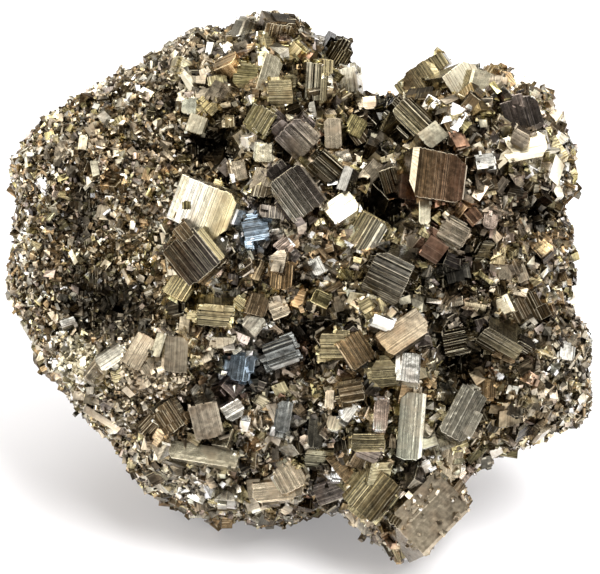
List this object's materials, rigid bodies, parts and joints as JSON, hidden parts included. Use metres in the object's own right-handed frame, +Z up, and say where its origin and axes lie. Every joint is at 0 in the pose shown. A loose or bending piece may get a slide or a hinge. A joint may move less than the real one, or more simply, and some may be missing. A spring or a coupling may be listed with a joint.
{
  "type": "raw pyrite cluster",
  "caption": "Raw lump of brassy grey pyrite with striated cubic crystals crowding its front and fine-grained flanks, resting on a small flat spot.",
  "frame": {"origin": "on the flat spot that the lump rests on, under the middle of the lump's width", "axes": "+X along the lump's longest extent, +Z up, and -Y towards the side crowded with large crystals"},
  "size_m": [0.1012, 0.0815, 0.0885],
  "materials": {
    "pyrite": "natural metallic lustre, slightly tarnished"
  },
  "bodies": {
    "root": {"pyrite_cluster": "pyrite"}
  },
  "joints": []
}
